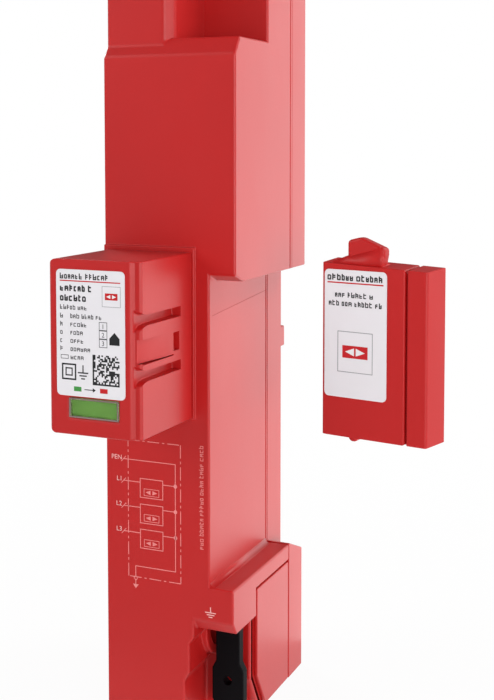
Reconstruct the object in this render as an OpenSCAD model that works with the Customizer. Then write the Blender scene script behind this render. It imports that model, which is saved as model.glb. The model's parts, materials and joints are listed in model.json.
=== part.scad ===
// Combined surge arrester for a 35 mm top-hat rail: a tall moulded housing in two halves, a
// display module on its front, an earth terminal with a cable funnel at its foot, and three
// spark gaps inside. The origin is the rail's centre line on the rear face, +Z is up, and the
// front looks along -Y.

/* [Housing] */
// Width of the lower body
body_w = 31.7; // [29:0.1:36]
// Depth of the housing, front face to rear face
body_d = 52.4; // [50:0.1:60]
// Height of the whole housing
body_h = 282.5; // [265:0.5:320]
// Distance from the rail's centre line down to the housing's foot
foot_drop = 110.1; // [106:0.1:120]
// Depth of the rear half of the housing
rear_d = 11.1; // [10:0.1:14]
// Thickness of the moulded walls
wall = 2; // [1.8:0.1:2.3]

/* [Middle block] */
// Width of the middle block and of everything above it
block_w = 39.4; // [37:0.1:44]
// Height of the block's underside above the rail's centre line
block_rise = 14.6; // [12:0.1:20]
// Height of the block
block_h = 65.3; // [60:0.1:72]
// Depth that the chamfer takes off the block's upper front edge
block_chamfer_d = 3.2; // [1:0.1:5]
// Height of that chamfer
block_chamfer_h = 4.7; // [2:0.1:8]
// Depth of the chamfer under the overhang
lip_chamfer_d = 5.2; // [2:0.1:7]
// Height of that chamfer
lip_chamfer_h = 2; // [1:0.1:4]

/* [Column and notch] */
// Width of the column above the block
column_w = 19.9; // [17:0.1:24]
// How far the column stands behind the front face
column_set_back = 1.95; // [1:0.05:3]
// Chamfer on the column's free edge
column_chamfer = 2.5; // [1:0.1:4]
// Depth from the front face to the notch's rear wall
notch_d = 22.5; // [18:0.1:27]

/* [Module] */
// Width of the display module
module_w = 27.06; // [26:0.02:29]
// Height of the display module
module_h = 45; // [44:0.1:47]
// How far the module stands out of the front face
module_out = 28.7; // [26:0.1:32]
// Thickness of the module's walls
module_wall = 1.5; // [1.2:0.1:1.8]
// Width of the raised plate on the module's front
plate_w = 23.5; // [22.5:0.1:24]
// How far that plate stands out of the shoulder beside it
plate_rise = 1; // [0.5:0.1:1.5]
// Width of the rating label
label_w = 19.8; // [16:0.1:20.5]
// Height of the rating label
label_h = 32.3; // [26:0.1:32.6]
// Width of the status window
window_w = 14.2; // [10:0.1:16]
// Height of the status window
window_h = 5; // [3.5:0.1:5.4]
// Travel of the status flag
flag_travel = 6; // [5.6:0.1:8]

/* [Earth terminal] */
// Width of the housing across the terminal box
term_w = 38.7; // [37.5:0.1:41]
// Height of the terminal box
term_h = 41.3; // [38:0.1:46]
// Height of the nose over the recess
nose_h = 12.7; // [11:0.1:15]
// Depth of the nose over the recess
nose_d = 15.9; // [15:0.1:19]
// Radius of the hole that the earth conductor enters
entry_r = 4.2; // [3:0.1:4.6]
// Radius of the funnel's mouth
funnel_r = 6; // [5:0.1:6.1]
// Travel of the clamp slide
slide_travel = 4; // [2:0.1:5]
// Width of the clamp slide's neck
slide_w = 7.2; // [6:0.1:7.6]
// Width of the clamp slide's head
head_w = 9.5; // [8.5:0.1:9.8]
// Thickness of the clamp slide
slide_t = 3; // [2.5:0.1:3.2]
// Radius of the eye in the slide's head
eye_r = 1.25; // [0.8:0.05:1.8]

/* [Rail mount] */
// Width of the rail
rail_w = 35; // [34.8:0.1:35.2]
// Thickness of the rail's flanges
rail_t = 1; // [0.9:0.1:1.3]
// How far the hooks stand behind the rear face
hook_out = 3; // [2.8:0.1:4]
// How far the hooks reach over the flanges
hook_reach = 1.3; // [1:0.1:2]
// Travel of the rail latch
latch_travel = 4; // [2.5:0.1:5]
// Width of the rail latch
latch_w = 14; // [12:0.5:18]

/* [Taken-off cap] */
// Width of the cap
cap_w = 30.2; // [28:0.1:34]
// Height of the cap
cap_h = 45; // [44:0.1:47]
// Depth of the cap
cap_d = 8.8; // [8:0.1:11]
// Width of the plate left of the cap's groove
cap_plate_w = 23.3; // [22:0.1:25]
// Angle that the cap is turned by
cap_turn = -10; // [-20:1:0]

/* [Hidden] */
$fn = 48;

// Shared small sizes
over = 1;            // overrun of a cut past the face that it opens
play = 0.3;          // running clearance round a moving piece
fit_gap = 0.2;       // clearance round a piece that is set in a pocket
foil_t = 0.2;        // thickness of a printed label

// Planes of the housing
x_left = -body_w / 2;
x_body = x_left + body_w;
x_block = x_left + block_w;
x_term = x_left + term_w;
y_front = -body_d;
y_seam = -rear_d;
y_column = y_front + column_set_back;
y_notch = y_front + notch_d;
z_foot = -foot_drop;
z_top = z_foot + body_h;
z_block = block_rise;
z_ledge = block_rise + block_h;
z_term = z_foot + term_h;

// Planes of the module
x_module = x_left + module_w;
y_face = y_front - module_out;
y_shoulder = y_face + plate_rise;
z_module = module_h / 2;

red = [0.78, 0.16, 0.16];

// A box between two corners
module block(low, high) {
    translate(low) cube(high - low);
}

// A flat plate with round corners, w wide and h high, its corner at the origin, t thick in Y
module round_plate(w, h, t, r) {
    rotate([90, 0, 0]) translate([0, 0, -t]) linear_extrude(t) {
        translate([r, 0]) square([w - 2 * r, h]);
        translate([0, r]) square([w, h - 2 * r]);
        for (x = [r, w - r], z = [r, h - r]) translate([x, z]) circle(r);
    }
}

// A profile drawn as (Y, Z) points and carried along X from x_low to x_high
module along_x(x_low, x_high, points) {
    translate([x_low, 0, 0]) rotate([90, 0, 90]) linear_extrude(x_high - x_low) polygon(points);
}

// A profile drawn as (X, Y) points and carried along Z
module along_z(z_low, z_high, points) {
    translate([0, 0, z_low]) linear_extrude(z_high - z_low) polygon(points);
}

// A profile drawn as (X, Z) points and carried along Y
module along_y(y_low, y_high, points) {
    translate([0, y_high, 0]) rotate([90, 0, 0]) linear_extrude(y_high - y_low) polygon(points);
}

// The housing's outer form between two depths, drawn in by inset on every outer wall
module housing_form(y_back, inset) {
    yb = y_back;
    // lower body
    block([x_left + inset, y_front + inset, z_foot + inset],
          [x_body - inset, yb, z_block + wall + lip_chamfer_h]);
    // middle block with its chamfered upper edge and lip
    along_x(x_left + inset, x_block - inset, [
        [y_front + inset, z_block + lip_chamfer_h + inset],
        [y_front + inset + lip_chamfer_d, z_block + inset],
        [yb, z_block + inset],
        [yb, z_ledge - inset],
        [y_front + inset + block_chamfer_d, z_ledge - inset],
        [y_front + inset, z_ledge - inset - block_chamfer_h]
    ]);
    // wide part behind the notch
    block([x_left + inset, y_notch + inset, z_ledge - wall - inset],
          [x_block - inset, yb, z_top - inset]);
    // column
    column_right = x_left + column_w - inset;
    column_front = y_column + inset;
    along_z(z_ledge - wall - inset, z_top - inset, [
        [x_left + inset, column_front],
        [column_right - column_chamfer, column_front],
        [column_right, column_front + column_chamfer],
        [column_right, y_notch + inset + wall],
        [x_left + inset, y_notch + inset + wall]
    ]);
}

// Terminal box beside the lower body, its upper rear edge sloping away
term_slope_d = 10;
term_slope_h = 4.3;
module terminal_box(y_low, y_high) {
    intersection() {
        along_x(x_left + wall, x_term, [
            [y_front, z_foot],
            [0, z_foot],
            [0, z_term - term_slope_h],
            [-term_slope_d, z_term],
            [y_front, z_term]
        ]);
        block([x_left, y_low, z_foot], [x_term, y_high, z_term]);
    }
}

// Earth terminal: recess, conductor hole and slide way in the front half
nose_chamfer_d = 2.3;
nose_chamfer_h = 3.5;
z_nose = z_term - nose_h;
recess_left = [26.8, 25.4, 24];       // left edge of the recess at its three heights
recess_step = [2.1, 4.1, 12.1, 14.4]; // drops below the nose at which the edge steps
recess_d = 14;                        // depth of the recess in front of the conductor hole
cheek_r = 9.5;                        // round rib on the recess's left wall, with a hollow in it
cheek_rib_w = 2.6;
cheek_rib_out = 0.5;
cheek_left = 23.4;
cheek_depth = 17.2;                   // its axis, behind the front face and below the nose
cheek_drop = 3;
core_w = 15.4;                        // width of the solid core that the terminal is cut in
core_d = 33.4;                        // depth of that core
entry_side = 9.7;                     // distance of the conductor hole from the terminal's side
entry_depth = 21.5;                   // distance of the conductor hole behind the front face
slide_side = 5.3;                     // distance of the clamp slide's middle from that side
slide_depth = 9.5;                    // distance of the clamp slide's middle behind the front face
chamber_wall = 3.5;                   // wall between the chamber and the housing's side
x_core = x_term - chamber_wall - core_w;
x_entry = x_term - entry_side;
y_entry = y_front + entry_depth;
x_slide = x_term - slide_side;
y_slide = y_front + slide_depth;
funnel_h = 7;
slide_way_h = 4;                      // how far the slide's way goes up into the nose
spring_r = 1.4;                       // outer radius of both return springs
spring_wire_r = 0.2;
spring_well_h = 7;
z_slide_top = z_nose + slide_way_h - fit_gap;

module entry_hole() {
    translate([x_entry, y_entry, z_foot - over])
        cylinder(r = entry_r, h = z_nose - z_foot + over);
    translate([x_entry, y_entry, z_foot - fit_gap])
        cylinder(r1 = funnel_r + fit_gap, r2 = entry_r, h = funnel_h + fit_gap);
}

module cheek_disc(r, h) {
    translate([x_left + cheek_left, y_front + cheek_depth, z_nose - cheek_drop]) rotate([0, 90, 0])
        cylinder(r = r, h = h);
}

module recess() {
    y_back = y_front + recess_d;
    difference() {
        along_y(y_front - over, y_back, [
            [x_left + recess_left[0], z_nose],
            [x_left + recess_left[0], z_nose - recess_step[0]],
            [x_left + recess_left[1], z_nose - recess_step[1]],
            [x_left + recess_left[1], z_nose - recess_step[2]],
            [x_left + recess_left[2], z_nose - recess_step[3]],
            [x_left + recess_left[2], z_foot - over],
            [x_term + over, z_foot - over],
            [x_term + over, z_nose]
        ]);
        cheek_disc(cheek_r, recess_left[0] - cheek_left + cheek_rib_out);
    }
    intersection() {
        cheek_disc(cheek_r - cheek_rib_w, recess_left[0] - cheek_left + over);
        block([x_left, y_front, z_foot], [x_term, y_back, z_nose]);
    }
    // chamfer under the nose
    along_x(x_left + recess_left[0], x_term + over, [
        [y_front - over, z_nose - over],
        [y_front - over, z_nose + nose_chamfer_h + over * nose_chamfer_h / nose_chamfer_d],
        [y_front + nose_chamfer_d, z_nose],
        [y_front + nose_chamfer_d, z_nose - over]
    ]);
    // way that the clamp slide runs in, and the well of its spring
    block([x_slide - slide_w / 2 - play, y_slide - slide_t / 2 - play, z_nose - over],
          [x_slide + slide_w / 2 + play, y_slide + slide_t / 2 + play, z_nose + slide_way_h]);
}

// Terminal cover: a thin panel let into the terminal box's side
cover_t = 1.1;
cover_gap = 0.55;
cover_top = 5.2;        // drop of the cover's top edge below the terminal box's top
cover_set = 0.9;        // distance from the nose's rear end to the cover's front edge
cover_front = nose_d + cover_set;
cover_corner = 11.1;    // height above the foot at which its front edge turns back
cover_foot_back = 6.6;  // how far the front edge has gone back at the foot

function cover_outline(grow) = [
    [y_front + cover_front - grow, z_foot + cover_corner],
    [y_front + cover_front - grow, z_term - cover_top + grow],
    [y_seam - cover_gap + grow, z_term - cover_top + grow],
    [y_seam - cover_gap + grow, z_foot],
    [y_front + cover_front + cover_foot_back - grow, z_foot]
];
cover_lift = 0.3;       // the cover ends this much above the foot

// Shadow groove along the right side, a little in front of the seam
shadow_set = 1.2;
shadow_w = 0.35;
shadow_d = 0.6;

module front_housing() {
    color(red) difference() {
        union() {
            difference() {
                union() {
                    housing_form(y_seam, 0);
                    terminal_box(y_front, y_seam);
                    module_collar();
                }
                difference() {
                    translate([0, over, 0]) housing_form(y_seam, wall);
                    // the terminal core stays solid
                    block([x_core, y_front, z_foot], [x_block, y_front + core_d, z_term]);
                }
                // hollow behind the terminal core
                block([x_body - 2 * wall, y_front + core_d, z_foot + wall],
                      [x_term - chamber_wall, y_seam + over, z_term - wall]);
            }
            screw_posts(y_seam - screw_depth - wall, y_seam);
        }
        recess();
        entry_hole();
        clamp_pocket();
        // seat of the terminal cover
        along_x(x_term - cover_t, x_term + over, cover_outline(cover_gap));
        // room in front of the cover, and the slanted end of the wall beside it
        along_x(x_term - cover_t, x_term + over, [
            [y_front + recess_d - over, z_foot - over],
            [y_front + recess_d - over, z_nose],
            [y_front + cover_front, z_nose],
            [y_front + cover_front + cover_foot_back, z_foot - over]
        ]);
        along_x(x_term - chamber_wall, x_term + over, [
            [y_front + recess_d - over, z_foot - over],
            [y_front + recess_d - over, z_foot + cover_corner],
            [y_front + recess_d, z_foot + cover_corner],
            [y_front + recess_d + cover_foot_back, z_foot - over]
        ]);
        // well of the slide's spring
        translate([x_slide, y_slide, z_nose])
            cylinder(r = spring_r + play, h = slide_way_h + spring_well_h - fit_gap);
        // shadow groove beside the seam
        block([x_body - shadow_d, y_seam - shadow_set - shadow_w, z_term],
              [x_body + over, y_seam - shadow_set, z_block]);
        block([x_block - shadow_d, y_seam - shadow_set - shadow_w, z_block - over],
              [x_block + over, y_seam - shadow_set, z_top + over]);
        // pilot holes for the housing screws
        for (p = screw_places) translate([p[0], y_seam + over, p[1]]) rotate([90, 0, 0])
            cylinder(r = screw_r + fit_gap / 2, h = screw_depth + over);
    }
}

// Low collar round the module's foot
collar_w = 0.5;
collar_rise = 0.7;
module module_collar() {
    block([x_left, y_front - collar_rise, -z_module - collar_w / 2],
          [x_module + collar_w, y_front, z_module + 2.5 * collar_w]);
}

clamp_w = 11.6;
clamp_d = 18;
clamp_h = 17;
clamp_rise = 13;        // height of the clamp's underside above the foot
z_clamp = z_foot + clamp_rise;
clamp_back = y_front + core_d;
module clamp_pocket() {
    block([x_entry - clamp_w / 2 - fit_gap, clamp_back - clamp_d - fit_gap, z_clamp],
          [x_entry + clamp_w / 2 + fit_gap, clamp_back + over, z_clamp + clamp_h + fit_gap]);
}

// Screws that hold the two halves together, as (X, Z)
screw_r = 1.2;
screw_head_r = 2.4;
screw_head_h = 1.8;
screw_depth = 9;
screw_inset = 5.5;
screw_places = [
    [x_left + screw_inset, z_foot + screw_inset],
    [x_left + screw_inset, z_top - screw_inset],
    [x_block - screw_inset, z_top - screw_inset],
    [x_block - screw_inset, z_block + screw_inset]
];

module screw_posts(y_low, y_high) {
    for (p = screw_places) translate([p[0], y_high, p[1]]) rotate([90, 0, 0])
        cylinder(r = screw_inset - wall + fit_gap, h = y_high - y_low);
}

// Rear half: a shallow tray with the fixed hook, the latch track and a small foot
track_side = 2.2;
track_d = 5.2;
lip_t = 1.3;
lip_w = 2;
latch_t = 2;
latch_rest_gap = 2;     // what is left of that height when the latch is pulled right down
latch_foot = latch_travel + latch_rest_gap; // height of the latch's lower end above the foot
latch_head = 1.2;       // how far the latch reaches up past the rail's lower edge
nib_h = 6.2;
nib_top = -4.8;
nib_w = 5;
nib_out = 2.7;
x_latch = x_left + body_w / 2;
z_latch_top = latch_head - rail_w / 2;
track_top = z_latch_top + fit_gap;
hook_w = 24;

module rear_form(inset) {
    yb = y_seam;
    h = inset;
    block([x_left + h, yb - h, z_foot + h], [x_body - h, -h, z_block + wall]);
    block([x_left + h, yb - h, z_block + h], [x_block - h, -h, z_top - h]);
}

module rear_housing() {
    color(red) difference() {
        union() {
            difference() {
                union() {
                    rear_form(0);
                    terminal_box(y_seam, 0);
                }
                rear_form(wall);
                block([x_body - 2 * wall, y_seam - over, z_foot + wall],
                      [x_term - wall, -wall, z_term - term_slope_h - 2 * wall]);
            }
            // thick bed of the latch track
            block([x_latch - latch_w / 2 - track_side, -track_d, z_foot],
                  [x_latch + latch_w / 2 + track_side, 0, track_top + wall]);
            screw_posts(y_seam, 0);
            upper_hook();
            block([x_body - nib_w, -wall, nib_top - nib_h], [x_body, nib_out, nib_top]);
        }
        difference() {
            latch_track();
            // stop that the latch's spring pushes against
            block([x_latch - latch_spring_r, -lip_t - latch_t - over,
                   z_latch_window - latch_window_h + fit_gap],
                  [x_latch + latch_spring_r, -lip_t,
                   z_latch_window - latch_window_h + spring_stop_h]);
        }
        // window through the wall under the fixed hook's lip
        block([x_latch - hook_w / 2 - fit_gap, -wall - over, rail_w / 2 - hook_reach],
              [x_latch + hook_w / 2 + fit_gap, 0, rail_w / 2 + fit_gap]);
        for (p = screw_places) translate([p[0], over, p[1]]) rotate([90, 0, 0]) {
            cylinder(r = screw_r + play, h = rear_d + 2 * over);
            cylinder(r = screw_head_r + play, h = screw_head_h + over);
        }
    }
}

module upper_hook() {
    edge = rail_w / 2 + fit_gap;
    along_x(x_latch - hook_w / 2, x_latch + hook_w / 2, [
        [-wall, edge],
        [rail_t + fit_gap, edge],
        [rail_t + fit_gap, edge - hook_reach],
        [hook_out - wall / 2, edge - hook_reach],
        [hook_out, edge],
        [hook_out, edge + 2 * wall],
        [0, edge + 3.5 * wall],
        [-wall, edge + 3.5 * wall]
    ]);
}

// T-shaped way for the latch, open at the housing's foot
module latch_track() {
    block([x_latch - latch_w / 2 - fit_gap, -lip_t - latch_t - 2 * fit_gap, z_foot - over],
          [x_latch + latch_w / 2 + fit_gap, -lip_t, track_top]);
    block([x_latch - latch_w / 2 + lip_w - fit_gap, -lip_t - over, z_foot - over],
          [x_latch + latch_w / 2 - lip_w + fit_gap, over, track_top]);
}

latch_spring_r = 1.3;
y_latch_spring = -lip_t - latch_t / 2;
latch_window_h = 18;    // height of the window in the latch that holds its spring
z_latch_window = -60;
spring_stop_h = 2;

module rail_latch() {
    edge = -rail_w / 2 - fit_gap;
    y_bed = -lip_t - latch_t - fit_gap;  // front face of the latch plate
    color([0.16, 0.16, 0.17]) difference() {
        union() {
            block([x_latch - latch_w / 2, y_bed, z_foot + latch_foot],
                  [x_latch + latch_w / 2, y_bed + latch_t, z_latch_top]);
            block([x_latch - latch_w / 2 + lip_w, y_bed, z_foot + latch_foot],
                  [x_latch + latch_w / 2 - lip_w, 0, z_latch_top - wall]);
            // nose that catches the rail's lower flange
            along_x(x_latch - latch_w / 2 + lip_w, x_latch + latch_w / 2 - lip_w, [
                [-lip_t, edge],
                [rail_t + fit_gap, edge],
                [rail_t + fit_gap, edge + hook_reach],
                [rail_t + 3 * fit_gap, edge + hook_reach],
                [hook_out, edge - hook_reach],
                [hook_out, edge - 2.5 * wall],
                [0, edge - 4 * wall],
                [-lip_t, edge - 4 * wall]
            ]);
        }
        // window for the return spring
        block([x_latch - latch_spring_r - play, y_bed - over, z_latch_window - latch_window_h],
              [x_latch + latch_spring_r + play, over, z_latch_window]);
        // eye for a screwdriver at the lower end
        block([x_latch - latch_w / 5, y_bed - over, z_foot + latch_foot + wall],
              [x_latch + latch_w / 5, over, z_foot + latch_foot + 2 * wall]);
    }
}

// One coil spring standing on the origin: turns of round wire swept as a closed tube
module coil(r, wire, h, turns, sides = 6, per_turn = 12) {
    steps = turns * per_turn;
    ring = [for (k = [0:sides - 1]) [wire * cos(360 * k / sides), wire * sin(360 * k / sides)]];
    points = [for (i = [0:steps], k = [0:sides - 1])
        let (a = 360 * i / per_turn, rr = r - wire + ring[k][0])
        [rr * cos(a), rr * sin(a), wire + (h - 2 * wire) * i / steps + ring[k][1]]];
    walls = [for (i = [0:steps - 1], k = [0:sides - 1])
        let (a = i * sides, b = (i + 1) * sides, n = (k + 1) % sides)
        [a + k, a + n, b + n, b + k]];
    polyhedron(points, concat(
        [[for (k = [0:sides - 1]) k]],
        [[for (k = [sides - 1:-1:0]) steps * sides + k]],
        [for (w = walls) [w[3], w[2], w[1], w[0]]]
    ));
}

module latch_spring() {
    color("silver") translate([x_latch, y_latch_spring, z_latch_window - latch_window_h])
        translate([0, 0, spring_stop_h + fit_gap])
            coil(latch_spring_r, spring_wire_r, latch_window_h - spring_stop_h - 2 * fit_gap, 9);
}

module slide_spring() {
    color("silver") translate([x_slide, y_slide, z_slide_top + fit_gap])
        coil(spring_r, spring_wire_r, spring_well_h - 2 * fit_gap, 6);
}

// Clamp slide: neck, rounded shoulders, head with an eye
slide_rest_gap = 0.6;   // gap to the foot's level when the slide is pulled right down
slide_foot = slide_travel + slide_rest_gap;
shoulder_h = 2;
shoulder_share = 0.385; // how far down the recess the shoulders are
eye_share = 0.566;      // how far down the recess the eye is
z_shoulder = z_nose - shoulder_share * (z_nose - z_foot);
z_eye = z_nose - eye_share * (z_nose - z_foot);
module clamp_slide() {
    y_low = y_slide - slide_t / 2;
    neck = slide_w / 2;
    head = head_w / 2;
    color([0.1, 0.1, 0.11]) difference() {
        along_y(y_low, y_low + slide_t, [
            [x_slide - neck, z_slide_top],
            [x_slide - neck, z_shoulder],
            [x_slide - head, z_shoulder - shoulder_h],
            [x_slide - head, z_foot + slide_foot + shoulder_h],
            [x_slide - neck, z_foot + slide_foot],
            [x_slide + neck, z_foot + slide_foot],
            [x_slide + head, z_foot + slide_foot + shoulder_h],
            [x_slide + head, z_shoulder - shoulder_h],
            [x_slide + neck, z_shoulder],
            [x_slide + neck, z_slide_top]
        ]);
        translate([x_slide, y_low + slide_t + over, z_eye]) rotate([90, 0, 0])
            cylinder(r = eye_r, h = slide_t + 2 * over);
    }
}

// Metal clamp round the bare end of the conductor
module clamp_body() {
    color([0.76, 0.7, 0.5]) difference() {
        block([x_entry - clamp_w / 2, clamp_back - clamp_d, z_clamp],
              [x_entry + clamp_w / 2, clamp_back, z_clamp + clamp_h]);
        translate([x_entry, y_entry, z_clamp - over]) cylinder(r = entry_r + play, h = clamp_h + 2 * over);
    }
}

module terminal_cover() {
    color(red) intersection() {
        along_x(x_term - cover_t, x_term, cover_outline(0));
        block([x_body, y_front, z_foot + cover_lift], [x_block, y_seam, z_term]);
    }
}

module housing_screws() {
    color("silver") for (p = screw_places) translate([p[0], -play, p[1]]) rotate([90, 0, 0])
        difference() {
            union() {
                translate([0, 0, screw_head_h - play])
                    cylinder(r = screw_r, h = rear_d + screw_depth - screw_head_h - wall);
                cylinder(r = screw_head_r, h = screw_head_h - play);
            }
            // cross recess
            for (a = [0, 90]) rotate(a)
                block([-screw_r, -screw_r / 4, -over], [screw_r, screw_r / 4, screw_head_h / 2]);
        }
}

// Module: a hollow cover with a raised front plate, two side grooves and a status window
module_corner_r = 1;     // radius of its left front edge
module_edge = 0.6;
module_round = 2.2;      // radius of its left corners seen from the front
module_draft = 0.8;      // what the front is narrower than the rear, on the right
groove_d = 2.9;          // how deep the side grooves are
groove_h = 2.7;          // height of a groove along its straight stretch
groove_back = 7.2;       // distance of the grooves' rear end from the housing's front face
groove_places = [7.6, -6.5]; // heights of the two grooves
flare_l = 3.6;           // length of the flared entry of a groove
flare_rise = 1.2;
flare_drop = 1.5;
flare_steps = 5;
tongue_low = -3.2;       // underside and top of the snap tongue between the grooves
tongue_high = 2.9;
tongue_set = 1.4;        // how far its front end lies behind the side face
tongue_gap = 0.35;       // slit under the tongue
tongue_gap_d = 1.2;      // depth of that slit behind the tongue's front end
slot_h = 4.9;
slot_l = 3.2;
slot_back = 8;
window_left = 5.8;
window_low = 4.5;        // height of the window above the module's underside
window_bevel = 0.5;      // width and depth of the bevel round the window
y_module_back = y_front - collar_rise;

function arc(cx, cy, r, a0, a1, n) =
    [for (i = [0:n]) let (a = a0 + (a1 - a0) * i / n) [cx + r * cos(a), cy + r * sin(a)]];

x_module_front = x_module - module_draft;
y_slot = y_front - slot_back;

module side_groove(z) {
    z_low = z - groove_h / 2;
    z_high = z + groove_h / 2;
    along_x(x_module - groove_d, x_module + over, concat(
        [[y_front - groove_back, z_low], [y_front - groove_back, z_high]],
        // round upper lip of the flare
        [for (i = [0:flare_steps]) let (a = 90 * i / flare_steps)
            [y_shoulder + flare_l * (1 - sin(a)), z_high + flare_rise * (1 - cos(a))]],
        [[y_face - over, z_high + flare_rise], [y_face - over, z_low - flare_drop]],
        // round lower lip
        [for (i = [0:flare_steps]) let (a = 90 * i / flare_steps)
            [y_shoulder + flare_l * (1 - cos(a)), z_low - flare_drop * (1 - sin(a))]]
    ));
}

// What is cut away to leave the snap tongue, whose face slopes out from front to rear
module tongue_cut() {
    x_front = x_module_front - tongue_set;
    along_z(tongue_low, tongue_high, [
        [x_front, y_face - over], [x_module + over, y_face - over],
        [x_module + over, y_slot - slot_l], [x_module, y_slot - slot_l], [x_front, y_shoulder]
    ]);
    block([x_front - tongue_gap_d, y_shoulder + module_edge, tongue_low - tongue_gap],
          [x_module + over, y_slot - slot_l, tongue_low]);
}

module module_housing() {
    x_cavity = x_module - groove_d - module_wall;
    color(red) difference() {
        intersection() {
            along_z(-z_module, z_module, concat(
                [[x_left, y_module_back]],
                arc(x_left + module_corner_r, y_face + module_corner_r, module_corner_r, 180, 270, 6),
                [[x_left + plate_w, y_face],
                 [x_left + plate_w + plate_rise, y_shoulder],
                 [x_module_front - module_edge, y_shoulder],
                 [x_module_front, y_shoulder + module_edge],
                 [x_module, y_module_back]]
            ));
            along_y(y_face - over, y_module_back, concat(
                arc(x_left + module_round, -z_module + module_round, module_round, 180, 270, 4),
                [[x_module + over, -z_module], [x_module + over, z_module]],
                arc(x_left + module_round, z_module - module_round, module_round, 90, 180, 4)
            ));
        }
        block([x_left + module_wall, y_face + module_wall, -z_module + module_wall],
              [x_cavity, y_module_back + over, z_module - module_wall]);
        for (z = groove_places) side_groove(z);
        tongue_cut();
        block([x_module - wall, y_slot - slot_l, -slot_h / 2],
              [x_module + over, y_slot, slot_h / 2]);
        window_cut();
    }
}

// Status window: a straight opening with a bevel at the front
z_window = -z_module + window_low;
module window_cut() {
    x_low = x_left + window_left;
    x_high = x_low + window_w;
    z_high = z_window + window_h;
    flare = window_bevel + over;
    block([x_low, y_face - over, z_window], [x_high, y_face + module_wall + over, z_high]);
    intersection() {
        along_x(x_low - flare, x_high + flare, [
            [y_face - over, z_window - flare], [y_face + window_bevel, z_window],
            [y_face + window_bevel, z_high], [y_face - over, z_high + flare]
        ]);
        along_z(z_window - flare, z_high + flare, [
            [x_low - flare, y_face - over], [x_high + flare, y_face - over],
            [x_high, y_face + window_bevel], [x_low, y_face + window_bevel]
        ]);
    }
}

label_left = 2.4;
label_drop = 2.6;
label_corner_r = 1.2;
module rating_label() {
    color("white") translate([x_left + label_left, y_face - foil_t, z_module - label_drop - label_h])
        round_plate(label_w, label_h, foil_t, label_corner_r);
}

// Status window: a clear pane let into the module's front from behind
lens_t = 1;
module window_lens() {
    color([0.8, 0.9, 0.85, 0.4]) block(
        [x_left + window_left + fit_gap, y_face + module_wall - lens_t, z_window + fit_gap],
        [x_left + window_left + window_w - fit_gap, y_face + module_wall, z_window + window_h - fit_gap]);
}

// Status flag: a green plate that rises out of the window, on a narrow stem
flag_t = 0.8;
flag_margin = 0.7;      // how far the flag reaches past the window
stem_w = 4;
stem_lead = 4;          // what the stem is longer than the flag's travel
stem_h = flag_travel + stem_lead;
x_stem = x_left + window_left + window_w / 2;
y_flag = y_face + module_wall + play;
module status_flag() {
    color("green") union() {
        block([x_left + window_left - flag_margin, y_flag, z_window - flag_margin],
              [x_left + window_left + window_w + flag_margin, y_flag + flag_t,
               z_window + window_h + flag_margin / 2]);
        block([x_stem - stem_w / 2, y_flag, z_window + window_h],
              [x_stem + stem_w / 2, y_flag + flag_t, z_window + window_h + stem_h]);
    }
}

// Red plate behind the flag, on the chassis
backplate_t = 0.6;
y_backplate = y_flag + flag_t + play;
module flag_backplate() {
    color("red") block(
        [x_left + window_left - flag_margin, y_backplate, z_window - flag_margin],
        [x_left + window_left + window_w + flag_margin, y_backplate + backplate_t,
         z_window + window_h + 2 * flag_margin]);
}

// Chassis inside the module, with the pocket that holds the varistor
x_chassis = x_left + module_wall + fit_gap;
x_chassis_end = x_module - groove_d - module_wall - fit_gap;
y_chassis = y_backplate + backplate_t;
varistor_w = 17;
varistor_h = 20;
varistor_t = 9;
varistor_low = 2;       // height of the varistor's underside above the flag's stem
z_varistor = z_window + window_h + varistor_low;
module module_chassis() {
    color([0.25, 0.25, 0.27]) difference() {
        block([x_chassis, y_chassis, -z_module + module_wall + fit_gap],
              [x_chassis_end, y_module_back, z_module - module_wall - fit_gap]);
        block([x_stem - varistor_w / 2 - fit_gap, y_chassis - over, z_varistor - fit_gap],
              [x_stem + varistor_w / 2 + fit_gap, y_chassis + varistor_t + wall,
               z_varistor + varistor_h + fit_gap]);
    }
}

module varistor() {
    color([0.12, 0.25, 0.55]) translate([x_stem - varistor_w / 2, y_chassis + wall, z_varistor])
        round_plate(varistor_w, varistor_h, varistor_t, wall);
}

// Spring arm soldered to the varistor: when the solder lets go it lifts the flag
trip_t = 0.4;
trip_w = 5;
module trip_arm() {
    y_arm = y_chassis + wall - trip_t;
    color([0.8, 0.55, 0.3]) union() {
        block([x_stem - trip_w / 2, y_arm, z_varistor + varistor_low],
              [x_stem + trip_w / 2, y_arm + trip_t, z_varistor + varistor_h / 2]);
        block([x_stem - trip_w / 2, y_flag + flag_t + play, z_varistor + varistor_low],
              [x_stem + trip_w / 2, y_arm + trip_t, z_varistor + varistor_low + trip_t]);
    }
}

// Three spark gaps in the rings of one carrier, one above the other
gap_l = 24;
gap_cap_t = 1.4;
gap_stud_r = 2.5;
gap_count = 3;
carrier_t = 2;
ring_t = 1.4;
ring_l = 6;
ring_room = 1.45;       // distance from the rings to the housing's walls, and a little for the gaps
ring_apart = 1.8;       // distance between two rings
gap_r = body_w / 2 - wall - ring_t - ring_room;
gap_cap_r = gap_r - 2.5 * fit_gap - wall;
gap_pitch = 2 * (gap_r + fit_gap + ring_t) + ring_apart;
gap_drop = 17.9;        // depth of the top gap's axis below the ledge
z_gap_top = z_ledge - gap_drop;
y_bar = y_front + core_d;           // front face of the earth bar
y_carrier = y_bar - carrier_t;
x_gap = x_left + body_w / 2;
function z_gap(i) = z_gap_top - i * gap_pitch;

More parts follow.
